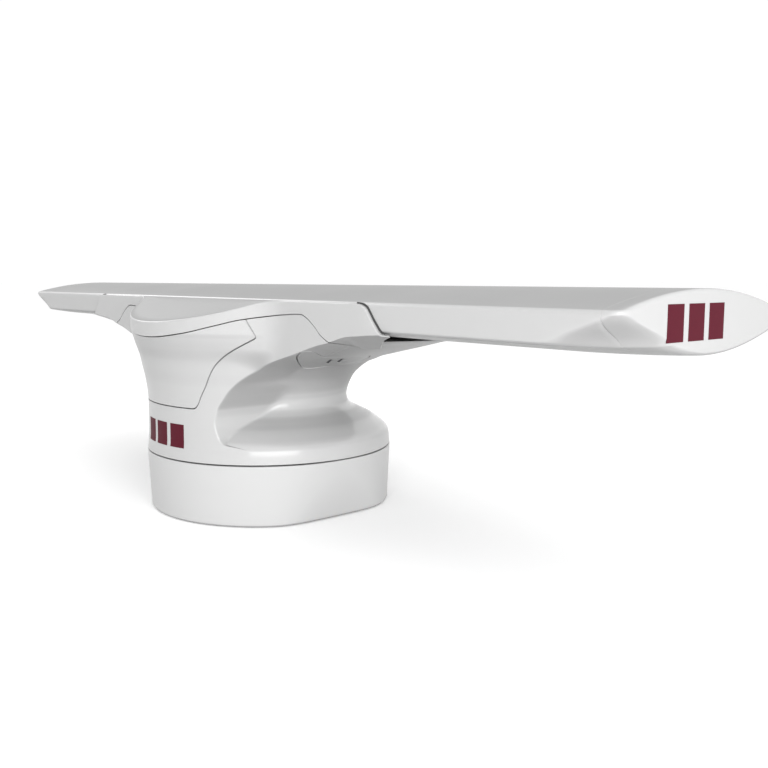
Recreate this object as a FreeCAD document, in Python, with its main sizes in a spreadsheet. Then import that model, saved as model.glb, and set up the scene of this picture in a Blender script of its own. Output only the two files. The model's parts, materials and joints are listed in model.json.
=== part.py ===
import FreeCAD, Part
import math
import os
from types import SimpleNamespace

import Sketcher
from FreeCAD import Placement, Rotation, Vector

# Open-array marine radar scanner: a lens-section array bar on a sculpted head that turns on a
# drafted base.  Millimetres, +Z up.  The origin is where the turning axis meets the plane that the
# base stands on.  +X runs along the array bar, -Y is the side that it radiates from.

doc = FreeCAD.newDocument("open_array_scanner")

# ---------------------------------------------------------------------------------------------
# Driving dimensions
# ---------------------------------------------------------------------------------------------

DIMENSIONS = {
    # base
    "base_height": 80, "base_top_radius": 174, "base_foot_radius": 170, "base_foot_side": 156,
    "casing_wall": 5, "floor_thickness": 6, "seam_gap": 2,
    "deck_radius": 164, "deck_thickness": 6, "deck_recess": 3, "post_circle": 152,
    "post_radius": 7,
    # mounting holes and cable inlet
    "mount_spacing_x": 190, "mount_spacing_y": 200, "mount_hole_radius": 5.5,
    "boss_radius": 14, "boss_height": 20,
    "inlet_place": 110, "inlet_radius": 16, "inlet_bore": 6,
    # bearing and shaft
    "shaft_bore": 22, "shaft_radius": 40, "shoulder_radius": 43, "inner_race_radius": 46,
    "ball_circle": 51, "ball_radius": 6.5, "ball_clearance": 0.05, "outer_race_bore": 56,
    "outer_race_radius": 62, "bearing_housing_radius": 72, "race_width": 16,
    "seal_outer_radius": 54, "retainer_thickness": 4, "flange_radius": 62,
    "flange_thickness": 6,
    # gears
    "gear_module": 1.5, "ring_teeth": 96, "pinion_teeth": 16, "gear_floor": 34,
    "gear_width": 10, "motor_radius": 33, "motor_top": 30, "motor_shaft_radius": 4,
    # head
    "head_floor_thickness": 5, "head_wall": 4, "hub_radius": 192, "waist_radius": 111,
    "waist_height": 150, "rim_height": 103, "shield_half_width": 90, "seam_low": 243,
    "seam_high": 276, "roof_slope": 0.33, "parting_gap": 1, "cover_gap": 1.2,
    "wing_reach": 340, "column_radius": 38, "column_bore": 32,
    # array bar
    "edge_height": 292, "bar_half_length": 640, "cap_length": 20, "bar_front": 101,
    "bar_tail": 162, "front_depth": 32, "crown_rise": 17, "belly_drop": 43, "bar_wall": 3,
    "cradle_gap": 1.5,
}


class Size:
    """A length that carries its number and the expression that binds it to the sheet."""

    def __init__(self, text, number):
        self.text = text
        self.number = number

    def joined(self, sign, other, number):
        return Size(f"({self.text} {sign} {as_size(other).text})", number)

    def __add__(self, other):
        return self.joined("+", other, self.number + as_size(other).number)

    def __sub__(self, other):
        return self.joined("-", other, self.number - as_size(other).number)

    def __mul__(self, other):
        return self.joined("*", other, self.number * as_size(other).number)

    def __truediv__(self, other):
        return self.joined("/", other, self.number / as_size(other).number)

    def __radd__(self, other):
        return as_size(other) + self

    def __rsub__(self, other):
        return as_size(other) - self

    def __rmul__(self, other):
        return as_size(other) * self

    def __neg__(self):
        return Size(f"(-1 * {self.text})", -self.number)


def as_size(value):
    return value if isinstance(value, Size) else Size(repr(float(value)), float(value))


sizes = doc.addObject("Spreadsheet::Sheet", "sizes")
for row, (alias, value) in enumerate(DIMENSIONS.items(), start=1):
    sizes.set(f"A{row}", alias)
    sizes.set(f"B{row}", str(value))
    sizes.setAlias(f"B{row}", alias)
doc.recompute()
d = SimpleNamespace(**{alias: Size("sizes." + alias, float(sizes.get(alias)))
                       for alias in DIMENSIONS})

# heights that several pieces share
deck_top = d.base_height - d.deck_recess
deck_bottom = deck_top - d.deck_thickness
race_top = deck_bottom - 2
race_bottom = race_top - d.race_width
head_bottom = d.base_height + d.seam_gap
head_floor_top = head_bottom + d.head_floor_thickness
flange_top = head_floor_top + d.flange_thickness
gear_top = d.gear_floor + d.gear_width
bar_bottom = d.edge_height - d.belly_drop
cradle_floor_top = bar_bottom - d.cradle_gap
CRADLE_FLOOR = 5
cradle_floor_bottom = cradle_floor_top - CRADLE_FLOOR
CHEEK_THICKNESS = 3.5
cheek_depth = d.bar_front + d.cradle_gap + CHEEK_THICKNESS
back_cheek = d.bar_tail + d.cradle_gap + CHEEK_THICKNESS

# ---------------------------------------------------------------------------------------------
# Small helpers: every length goes in as an expression
# ---------------------------------------------------------------------------------------------

pieces = []


def bind(item, **sizes_by_property):
    for name, value in sizes_by_property.items():
        item.setExpression(name, as_size(value).text)
    return item


def place(item, x=0, y=0, z=0):
    for axis, value in (("x", x), ("y", y), ("z", z)):
        item.setExpression("Placement.Base." + axis, as_size(value).text)
    return item


def piece(item, name):
    """Keep an object as one piece of the scanner, under the name that a person would use."""
    item.Label = name
    pieces.append(item)
    return item


def box(name, corner, lengths):
    item = doc.addObject("Part::Box", name)
    bind(item, Length=lengths[0], Width=lengths[1], Height=lengths[2])
    return place(item, *corner)


def cylinder(name, radius, bottom, top, x=0, y=0):
    item = doc.addObject("Part::Cylinder", name)
    bind(item, Radius=radius, Height=as_size(top) - bottom)
    return place(item, x, y, bottom)


def cone(name, low_radius, high_radius, bottom, top):
    item = doc.addObject("Part::Cone", name)
    bind(item, Radius1=low_radius, Radius2=high_radius, Height=as_size(top) - bottom)
    return place(item, 0, 0, bottom)


def fuse(name, *shapes):
    item = doc.addObject("Part::MultiFuse", name)
    item.Shapes = list(shapes)
    return item


def common(name, *shapes):
    item = doc.addObject("Part::MultiCommon", name)
    item.Shapes = list(shapes)
    return item


def cut(name, base, *tools):
    item = doc.addObject("Part::Cut", name)
    item.Base = base
    item.Tool = tools[0] if len(tools) == 1 else fuse(name + "_tools", *tools)
    return item


def group(name, shapes):
    item = doc.addObject("Part::Compound", name)
    item.Links = list(shapes)
    return item


def ring(name, bore, radius, bottom, top, x=0, y=0):
    outer = cylinder(name + "_outer", radius, bottom, top, x, y)
    return cut(name, outer, cylinder(name + "_bore", bore, as_size(bottom) - 1,
                                     as_size(top) + 1, x, y))


def circle_places(count, radius, start_degrees=0):
    """Points spread evenly on a circle about the turning axis."""
    angles = [math.radians(start_degrees + 360 * step / count) for step in range(count)]
    return [(radius * math.cos(angle), radius * math.sin(angle)) for angle in angles]


def screws(name, places, head_radius, head_height, shank_radius, seat, length, upward=False):
    """Identical cap screws, one solid at each place; the heads sit on the height called seat."""
    solids = []
    for index, (x, y) in enumerate(places):
        head_low, head_high = (seat, seat + head_height)
        shank_low, shank_high = (seat - length, seat + head_height / 2)
        if upward:
            head_low, head_high = (seat - head_height, seat)
            shank_low, shank_high = (seat - head_height / 2, seat + length)
        head = cylinder(f"{name}_head_{index}", head_radius, head_low, head_high, x, y)
        shank = cylinder(f"{name}_shank_{index}", shank_radius, shank_low, shank_high, x, y)
        solids.append(fuse(f"{name}_{index}", head, shank))
    return piece(group(name, solids), name)


def holes(name, places, radius, bottom, top):
    return [cylinder(f"{name}_{index}", radius, bottom, top, x, y)
            for index, (x, y) in enumerate(places)]


def origin_plane(body, role):
    return next(f for f in body.Origin.OriginFeatures if f.Role == role)


def new_body(name, role):
    """A body with one sketch on the origin plane of the given role."""
    body = doc.addObject("PartDesign::Body", name)
    sketch = body.newObject("Sketcher::SketchObject", name + "_sketch")
    sketch.AttachmentSupport = [(origin_plane(body, role), "")]
    sketch.MapMode = "FlatFace"
    return body, sketch


def arc_through(first, middle, last):
    """An arc that runs anticlockwise, whichever way round its three points come."""
    centre = Part.Arc(first, middle, last).toShape().Curve.Center
    anticlockwise = (middle - first).cross(last - middle).z > 0
    start, end = (first, last) if anticlockwise else (last, first)
    angles = [math.atan2(p.y - centre.y, p.x - centre.x) for p in (start, end)]
    if angles[1] < angles[0]:
        angles[1] += 2 * math.pi
    circle = Part.Circle(centre, Vector(0, 0, 1), first.distanceToPoint(centre))
    return Part.ArcOfCircle(circle, *angles)


def outline(sketch, points, arcs=()):
    """Close the points with lines, or with an arc through a middle point where arcs has one.

    Every corner of the outline is held by its distances from the origin, bound to the sheet."""
    corners = [(as_size(x), as_size(y)) for x, y in points]
    middles = dict(arcs)
    count = len(corners)
    vectors = [Vector(x.number, y.number, 0) for x, y in corners]
    for index in range(count):
        first, last = vectors[index], vectors[(index + 1) % count]
        if index in middles:
            middle = Vector(*[as_size(v).number for v in middles[index]], 0)
            edge = arc_through(first, middle, last)
        else:
            edge = Part.LineSegment(first, last)
        sketch.addGeometry(edge, False)
    forward = [sketch.Geometry[i].StartPoint.distanceToPoint(vectors[i]) < 1e-6
               for i in range(count)]
    constraints = []
    for index in range(count):
        after = (index + 1) % count
        end = 2 if forward[index] else 1
        start = 1 if forward[after] else 2
        constraints.append(Sketcher.Constraint("Coincident", index, end, after, start))
    held = [(index, 1 if forward[index] else 2, x, y) for index, (x, y) in enumerate(corners)]
    for index, (x, y) in middles.items():
        number = sketch.addGeometry(Part.Point(Vector(as_size(x).number, as_size(y).number, 0)),
                                    True)
        constraints.append(Sketcher.Constraint("PointOnObject", number, 1, index))
        held.append((number, 1, as_size(x), as_size(y)))
    expressions = {}
    for index, point, x, y in held:
        for kind, value in (("DistanceX", x), ("DistanceY", y)):
            if abs(value.number) < 1e-9:
                axis = -2 if kind == "DistanceX" else -1
                constraints.append(Sketcher.Constraint("PointOnObject", index, point, axis))
                continue
            expressions[len(constraints)] = value.text
            constraints.append(
                Sketcher.Constraint(kind, -1, 1, index, point, value.number))
    sketch.addConstraint(constraints)
    for number, text in expressions.items():
        sketch.setExpression(f"Constraints[{number}]", text)
    return sketch


def padded(name, role, points, length, arcs=()):
    """An outline padded the same distance to both sides of its plane."""
    body, sketch = new_body(name, role)
    outline(sketch, points, arcs)
    pad = body.newObject("PartDesign::Pad", name + "_pad")
    pad.Profile = sketch
    pad.SideType = "Symmetric"
    pad.setExpression("Length", as_size(length).text)
    body.Tip = pad
    return body


def revolved(name, points, arcs=()):
    """An outline of (radius, height) points turned about the Z axis."""
    body, sketch = new_body(name, "XZ_Plane")
    outline(sketch, points, arcs)
    turned = body.newObject("PartDesign::Revolution", name + "_turned")
    turned.Profile = sketch
    turned.ReferenceAxis = (sketch, ["V_Axis"])
    turned.Angle = 360
    body.Tip = turned
    return body


# ---------------------------------------------------------------------------------------------
# Base
# ---------------------------------------------------------------------------------------------

mount_places = [(sx * d.mount_spacing_x.number / 2, sy * d.mount_spacing_y.number / 2)
                for sx in (-1, 1) for sy in (-1, 1)]
post_places = [place for angle in (35, 145, 215, 270, 325)
               for place in circle_places(1, d.post_circle.number, angle)]

SWITCH_HEIGHT = 42
SWITCH_WIDTH = 17
SWITCH_TALL = 13
SWITCH_FACE = 169


def tub_form(name, inset, bottom):
    """Round at the top and flattened on both long sides towards the foot."""
    round_form = cone(name + "_round", d.base_foot_radius - inset, d.base_top_radius - inset,
                      0, d.base_height)
    foot = d.base_foot_side - inset
    top = d.base_top_radius + 0.5 - inset
    flats = padded(name + "_flats", "XZ_Plane",
                   [(-foot, 0), (foot, 0), (top, d.base_height), (-top, d.base_height)],
                   3 * d.base_top_radius)
    if bottom is None:
        return common(name, round_form, flats)
    above = cylinder(name + "_above", 2 * d.base_top_radius, bottom, d.base_height)
    return common(name, round_form, flats, above)


def make_base_casing():
    tub = cut("tub_shell", tub_form("tub_outer", 0, None),
              tub_form("tub_inner", d.casing_wall, d.floor_thickness))
    bosses = [cylinder(f"boss_{i}", d.boss_radius, 0, d.boss_height, x, y)
              for i, (x, y) in enumerate(mount_places)]
    posts = [cylinder(f"post_{i}", d.post_radius, 0, deck_bottom, x, y)
             for i, (x, y) in enumerate(post_places)]
    solid = fuse("tub_with_posts", tub, *bosses, *posts)
    openings = holes("mount_hole", mount_places, d.mount_hole_radius, -1, d.boss_height + 1)
    openings += holes("post_thread", post_places, 2.6, deck_bottom - 16, deck_bottom + 1)
    openings.append(cylinder("inlet_hole", d.inlet_radius, -1, d.floor_thickness + 1,
                             0, d.inlet_place))
    openings.append(box("switch_opening",
                        (-SWITCH_WIDTH, SWITCH_FACE - 20, SWITCH_HEIGHT - SWITCH_TALL),
                        (2 * SWITCH_WIDTH, 40, 2 * SWITCH_TALL)))
    return piece(cut("base_casing", solid, *openings), "base_casing")


def make_base_deck():
    plate = cylinder("deck_plate", d.deck_radius, deck_bottom, deck_top)
    housing = cylinder("bearing_housing", d.bearing_housing_radius, race_bottom, deck_bottom)
    bores = [cylinder("race_bore", d.outer_race_radius, race_bottom - 1, race_top),
             cylinder("seal_bore", d.seal_outer_radius, race_top - 1, deck_top + 1)]
    bores += holes("deck_hole", post_places, 3, deck_bottom - 1, deck_top + 1)
    bores += holes("retainer_thread", circle_places(6, 67), 1.6, race_bottom - 1,
                   race_bottom + 12)
    return piece(cut("base_deck", fuse("deck_solid", plate, housing), *bores), "base_deck")


def race(name, bore, radius):
    """A bearing race with its ball groove."""
    groove = doc.addObject("Part::Torus", name + "_groove")
    bind(groove, Radius1=d.ball_circle, Radius2=d.ball_radius + d.ball_clearance)
    place(groove, 0, 0, race_bottom + d.race_width / 2)
    return piece(cut(name, ring(name + "_blank", bore, radius, race_bottom, race_top), groove),
                 name)


def make_bearing():
    race("bearing_outer_race", d.outer_race_bore, d.outer_race_radius)
    race("bearing_inner_race", d.shaft_radius, d.inner_race_radius)
    balls = []
    for index, (x, y) in enumerate(circle_places(16, d.ball_circle.number)):
        ball = doc.addObject("Part::Sphere", f"ball_{index}")
        bind(ball, Radius=d.ball_radius)
        balls.append(place(ball, x, y, race_bottom + d.race_width / 2))
    piece(group("bearing_balls", balls), "bearing_balls")
    retainer = ring("retainer_blank", 50, d.bearing_housing_radius,
                    race_bottom - d.retainer_thickness, race_bottom)
    piece(cut("bearing_retainer", retainer, *holes("retainer_hole", circle_places(6, 67), 1.7,
                                                    race_bottom - 6, race_bottom + 1)),
          "bearing_retainer")
    screws("retainer_screws", circle_places(6, 67), 3, 2.5, 1.5,
           race_bottom - d.retainer_thickness, 14, upward=True)
    piece(ring("rotary_seal", d.shoulder_radius + 0.05, d.seal_outer_radius, deck_bottom,
               deck_top), "rotary_seal")


def toothed_wheel(name, teeth, bore, bottom, top, half_tooth_turn):
    """A spur gear: a root disc and one tooth, repeated around it."""
    pitch = d.gear_module * teeth / 2
    root = pitch - 1.2 * d.gear_module
    tip = pitch + 0.93 * d.gear_module
    body = doc.addObject("PartDesign::Body", name)
    disc_sketch = body.newObject("Sketcher::SketchObject", name + "_disc_sketch")
    tooth_sketch = body.newObject("Sketcher::SketchObject", name + "_tooth_sketch")
    for sketch in (disc_sketch, tooth_sketch):
        sketch.AttachmentSupport = [(origin_plane(body, "XY_Plane"), "")]
        sketch.MapMode = "FlatFace"
        sketch.setExpression("AttachmentOffset.Base.z", as_size(bottom).text)
    for index, radius in enumerate((root, as_size(bore))):
        disc_sketch.addGeometry(Part.Circle(Vector(), Vector(0, 0, 1), radius.number), False)
        disc_sketch.addConstraint(Sketcher.Constraint("Coincident", index, 3, -1, 1))
        number = disc_sketch.addConstraint(
            Sketcher.Constraint("Radius", index, radius.number))
        disc_sketch.setExpression(f"Constraints[{number}]", radius.text)
    root_half = 0.98 * d.gear_module
    tip_half = 0.38 * d.gear_module
    start = root - 0.6
    outline(tooth_sketch, [(start, -root_half), (tip, -tip_half), (tip, tip_half),
                           (start, root_half)])
    for feature, sketch in (("disc", disc_sketch), ("tooth", tooth_sketch)):
        pad = body.newObject("PartDesign::Pad", f"{name}_{feature}")
        pad.Profile = sketch
        pad.setExpression("Length", (as_size(top) - bottom).text)
    repeated = body.newObject("PartDesign::PolarPattern", name + "_teeth")
    repeated.Originals = [doc.getObject(name + "_tooth")]
    repeated.Axis = (disc_sketch, ["N_Axis"])
    repeated.Angle = 360
    repeated.setExpression("Occurrences", teeth.text)
    body.Tip = repeated
    if half_tooth_turn:
        body.Placement = Placement(Vector(), Rotation(Vector(0, 0, 1), 180 / teeth.number))
    return body


def make_drive():
    centre_distance = d.gear_module * (d.ring_teeth + d.pinion_teeth) / 2
    piece(toothed_wheel("ring_gear", d.ring_teeth, d.shaft_radius, d.gear_floor, gear_top,
                        False), "ring_gear")
    pinion = toothed_wheel("motor_pinion", d.pinion_teeth, d.motor_shaft_radius,
                           d.gear_floor - 1, gear_top + 1, True)
    place(pinion, 0, -centre_distance, 0)
    piece(pinion, "motor_pinion")
    motor_y = -centre_distance
    piece(cylinder("motor_shaft", d.motor_shaft_radius, 10, gear_top + 2, 0, motor_y),
          "motor_shaft")
    body = cylinder("motor_can", d.motor_radius, d.floor_thickness, d.motor_top, 0, motor_y)
    bore = cylinder("motor_bore", d.motor_shaft_radius + 0.05, 9.5, d.motor_top + 1, 0, motor_y)
    piece(cut("drive_motor", body, bore), "drive_motor")
    clamp = ring("motor_clamp_blank", d.motor_radius, d.motor_radius + 11, d.floor_thickness,
                 14, 0, motor_y)
    bolt_places = [(x, motor_y.number + y) for x, y in circle_places(4, 39, 45)]
    piece(cut("motor_clamp", clamp, *holes("motor_clamp_hole", bolt_places, 2.2, 5, 15)),
          "motor_clamp")
    screws("motor_screws", bolt_places, 3.5, 3, 2, 14, 8)
    piece(ring("gear_spacer", d.shaft_radius, d.inner_race_radius, gear_top, race_bottom),
          "gear_spacer")
    nut = doc.addObject("Part::Prism", "lock_nut_blank")
    nut.Polygon = 8
    bind(nut, Circumradius=50, Height=3.4)
    place(nut, 0, 0, d.gear_floor - 3.4)
    piece(cut("shaft_lock_nut", nut, cylinder("lock_nut_bore", d.shaft_radius,
                                              d.gear_floor - 7, d.gear_floor + 1)),
          "shaft_lock_nut")


def make_base_electrics():
    piece(ring("slip_ring_stator", 12.05, 20, d.floor_thickness, 25), "slip_ring_stator")
    core = cylinder("slip_core", 12, d.floor_thickness + 2, 31)
    collar = cylinder("slip_collar", d.shaft_bore, 28, 33)
    piece(fuse("slip_ring_rotor", core, collar), "slip_ring_rotor")
    standoff_places = [(34, -34), (34, 34), (100, -34), (100, 34)]
    piece(group("board_standoffs", [ring(f"standoff_{i}", 1.6, 3.5, d.floor_thickness, 14, x, y)
                                    for i, (x, y) in enumerate(standoff_places)]),
          "board_standoffs")
    board = box("board_sheet", (28, -40, 14), (78, 80, 1.6))
    parts = [box("board_coil", (40, -24, 15), (22, 22, 14)),
             box("board_chip", (70, -20, 15), (18, 18, 5)),
             box("board_socket", (70, 14, 15), (26, 12, 10))]
    parts += [cylinder(f"board_capacitor_{i}", 6, 15, 30, 44 + 14 * i, 18) for i in range(2)]
    populated = fuse("board_populated", board, *parts)
    piece(cut("power_board", populated, *holes("board_hole", standoff_places, 1.7, 13, 17)),
          "power_board")
    screws("board_screws", standoff_places, 3, 2, 1.5, 15.6, 7)
    piece(box("zero_mark_sensor", (-88, -8, 48), (12, 16, deck_bottom - 48)),
          "zero_mark_sensor")
    gland = fuse("gland_solid",
                 cylinder("gland_stem", d.inlet_radius, 0, d.floor_thickness, 0,
                          d.inlet_place),
                 cylinder("gland_flange", d.inlet_radius + 5, d.floor_thickness, 12, 0,
                          d.inlet_place),
                 cylinder("gland_neck", d.inlet_radius - 4, 11, 30, 0, d.inlet_place))
    piece(cut("cable_gland", gland, cylinder("gland_bore", d.inlet_bore, -1, 31, 0,
                                             d.inlet_place)), "cable_gland")
    nut = doc.addObject("Part::Prism", "gland_nut_blank")
    nut.Polygon = 6
    bind(nut, Circumradius=18, Height=8)
    place(nut, 0, d.inlet_place, 14)
    piece(cut("gland_nut", nut, cylinder("gland_nut_bore", d.inlet_radius - 4, 13, 23, 0,
                                         d.inlet_place)), "gland_nut")


def make_standby_switch():
    """A rocker in a bezel, sunk into the back of the base."""
    frame_block = box("switch_block",
                      (-SWITCH_WIDTH, SWITCH_FACE - 12, SWITCH_HEIGHT - SWITCH_TALL),
                      (2 * SWITCH_WIDTH, 12, 2 * SWITCH_TALL))
    well = box("switch_well", (-11.3, SWITCH_FACE - 9, SWITCH_HEIGHT - 9.2), (22.6, 20, 18.4))
    piece(cut("switch_bezel", frame_block, well), "switch_bezel")
    drum = doc.addObject("Part::Cylinder", "rocker_drum")
    bind(drum, Radius=6.5, Height=22)
    drum.Placement = Placement(Vector(-11, SWITCH_FACE - 2, SWITCH_HEIGHT),
                               Rotation(Vector(0, 1, 0), 90))
    waist = box("rocker_body", (-11, SWITCH_FACE - 4, SWITCH_HEIGHT - 8), (22, 4, 16))
    piece(fuse("standby_rocker", drum, waist), "standby_rocker")


# ---------------------------------------------------------------------------------------------
# Head
# ---------------------------------------------------------------------------------------------

def neck_form(name, inset, bottom):
    """Waisted round body: a shallow deck over the base, a narrow neck, then the hub's flare."""
    flare = d.waist_height + 53
    top = d.seam_high + 6
    return revolved(
        name,
        [(0, bottom), (d.base_top_radius - 1 - inset, bottom),
         (d.base_top_radius - 4 - inset, d.rim_height - inset),
         (d.waist_radius - inset, d.waist_height), (d.waist_radius + 38 - inset, flare + inset),
         (d.hub_radius - 5 - inset, d.seam_low - 26 + inset), (d.hub_radius - 3 - inset, top),
         (0, top)],
        arcs={2: (d.waist_radius + 21 - inset, d.waist_height - 21 - inset / 2),
              3: (d.waist_radius + 10 - inset, d.waist_height + 30 + inset / 2)})


def shield_form(name, inset, bottom):
    """The nose of the head: upright above the base, flaring towards the hub, and cut off at both
    sides by the scoop's edge."""
    top = d.seam_high + 6
    low = d.base_top_radius - 2 - inset
    column = revolved(
        name + "_column",
        [(0, bottom), (d.base_top_radius - inset, bottom), (low, d.rim_height),
         (low, d.waist_height + 10), (d.hub_radius - inset, d.seam_low + 6),
         (d.hub_radius - inset, top), (0, top)],
        arcs={3: (low + 7, d.waist_height + 53)})
    edge = d.shield_half_width - inset
    half = [(edge + 28, d.rim_height), (edge + 3, d.rim_height + 16), (edge, d.waist_height - 10),
            (edge + 7, d.waist_height + 16), (edge + 44, d.waist_height + 49),
            (edge + 88, d.waist_height + 73), (edge + 181, d.edge_height - 44),
            (edge + 260, d.edge_height - 44), (edge + 260, top)]
    scoop = padded(name + "_scoop", "XZ_Plane",
                   half + [(-x, z) for x, z in reversed(half)]
                   + [(-(edge + 28), bottom), (edge + 28, bottom)],
                   4 * d.hub_radius)
    front = box(name + "_front", (-2 * d.hub_radius, -2 * d.hub_radius, bottom),
                (4 * d.hub_radius, 2 * d.hub_radius, top))
    return common(name, column, scoop, front)


def wing_form(name, inset):
    """The flare under the array, drawn out along the bar: a loft through growing ellipses."""
    stations = [(203, 149, 149), (212, 175, 165), (218, 207, 180), (223, 255, 185),
                (230, 300, 187), (248, 340, 189)]
    sections = []
    for index, (height, along, across) in enumerate(stations):
        rim = doc.addObject("Part::Ellipse", f"{name}_rim_{index}")
        reach = d.wing_reach * (along / 340)
        bind(rim, MajorRadius=reach - inset, MinorRadius=across - 1.01 * as_size(inset))
        rim.Placement.Rotation = Rotation()
        lift = -inset if height == 248 else inset
        place(rim, 0, 0, d.seam_low * (height / 243) + lift)
        sections.append(rim)
    loft = doc.addObject("Part::Loft", name)
    loft.Sections = sections
    loft.Solid = True
    return loft


def bar_form(name, grown, half_length):
    """The array's lens section: blunt at the front, crowned on top, drawn out to a thin tail."""
    front = -(d.bar_front + grown)
    tail = d.bar_tail + grown
    edge = d.edge_height
    body, sketch = new_body(name, "YZ_Plane")
    outline(sketch,
            [(front, edge - d.front_depth - grown / 2), (front, edge + grown / 2),
             (tail - 9, edge + 1 + grown), (tail - 9, edge - 25 - grown)],
            arcs={1: (22, edge + d.crown_rise + grown),
                  2: (tail, edge - 12),
                  3: (21, edge - d.belly_drop - grown)})
    pad = body.newObject("PartDesign::Pad", name + "_pad")
    pad.Profile = sketch
    pad.SideType = "Symmetric"
    pad.setExpression("Length", (2 * as_size(half_length)).text)
    body.Tip = pad
    return body


def parting(name, drop, low, high):
    """Everything above the wavy parting line between housing and cradle, from one cheek to the
    other; drop lowers the line."""
    line = [(20, d.seam_low), (73, d.seam_low + 7), (115, d.seam_low + 18),
            (163, d.seam_high - 3), (222, d.seam_high), (248, d.seam_high - 9),
            (273, d.seam_low + 5), (312, d.seam_low), (356, d.seam_low - 1)]
    half = [(x, z - drop) for x, z in line] + [(low, d.edge_height - 37),
                                               (high, d.edge_height), (high, 400)]
    return padded(name, "XZ_Plane", half + [(-as_size(x), z) for x, z in reversed(half)],
                  4 * d.hub_radius)


def make_head_structure():
    flange_places = circle_places(6, 55, 30)
    shaft = revolved("shaft_solid",
                     [(d.shaft_bore, d.gear_floor - 7), (d.shaft_radius, d.gear_floor - 7),
                      (d.shaft_radius, race_top), (d.shoulder_radius, race_top),
                      (d.shoulder_radius, head_floor_top), (d.flange_radius, head_floor_top),
                      (d.flange_radius, flange_top), (d.shaft_bore, flange_top)])
    piece(cut("main_shaft", shaft, *holes("flange_hole", flange_places, 2.7,
                                          head_floor_top - 1, flange_top + 1),
              *holes("column_thread", circle_places(4, 45), 2.1, head_floor_top - 2,
                     flange_top + 1)), "main_shaft")
    screws("shaft_screws", flange_places, 4.5, 4, 2.5, flange_top, 10)
    floor_disc = ring("head_floor_disc", d.shoulder_radius, d.base_top_radius - d.head_wall
                      - 3, head_bottom, head_floor_top)
    piece(cut("head_floor", floor_disc, *holes("floor_hole", flange_places, 2.7,
                                               head_bottom - 1, head_floor_top + 1)),
          "head_floor")
    tube = ring("column_tube", d.column_bore, d.column_radius, flange_top,
                cradle_floor_bottom)
    foot = ring("column_foot", d.column_bore, 49, flange_top, flange_top + 5)
    crown = ring("column_crown", d.column_bore, 60, cradle_floor_bottom - 6,
                 cradle_floor_bottom)
    foot_places = circle_places(4, 45)
    crown_places = circle_places(6, 52)
    piece(cut("support_column", fuse("column_solid", tube, foot, crown),
              *holes("foot_hole", foot_places, 2.1, flange_top - 1, flange_top + 6),
              *holes("crown_hole", crown_places, 2.6, cradle_floor_bottom - 7,
                     cradle_floor_bottom + 1)), "support_column")
    screws("column_screws", foot_places, 3.2, 3, 2, flange_top + 5, 10)
    screws("cradle_screws", crown_places, 4, 4, 2.5, cradle_floor_bottom - 6, 11.4,
           upward=True)


def make_transceiver():
    """The transmitter stands in the nose of the head, in front of the column."""
    low = head_floor_top
    feet = [box(f"transceiver_foot_{i}", (x, y, low), (14, 14, 10))
            for i, (x, y) in enumerate([(-62, -146 + 10), (48, -146 + 10), (-62, -70),
                                        (48, -70)])]
    piece(group("transceiver_feet", feet), "transceiver_feet")
    case = cut("transceiver_shell", box("case_block", (-66, -140, low + 10), (132, 88, 60)),
               box("case_hollow", (-63, -137, low + 13), (126, 82, 60)))
    piece(case, "transceiver_case")
    lid = box("lid_plate", (-66, -140, low + 70), (132, 88, 4))
    fins = [box(f"lid_fin_{i}", (-62 + 11 * i, -138, low + 73), (3, 84, 12)) for i in range(4)]
    fins += [box(f"lid_fin_{i + 4}", (26 + 11 * i, -138, low + 73), (3, 84, 12))
             for i in range(4)]
    piece(cut("transceiver_lid", fuse("lid_solid", lid, *fins),
              box("lid_port", (-11.6, -101.6, low + 69), (23.2, 11.2, 6))), "transceiver_lid")
    guide = cut("guide_shell",
                box("guide_block", (-11.5, -101.5, low + 20),
                    (23, 11, d.edge_height - 48 - low)),
                box("guide_hollow", (-10, -100, low + 19), (20, 8, d.edge_height)))
    piece(guide, "feed_waveguide")
    piece(box("signal_board", (-55, -128, low + 22), (40, 70, 1.6)), "signal_board")


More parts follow.
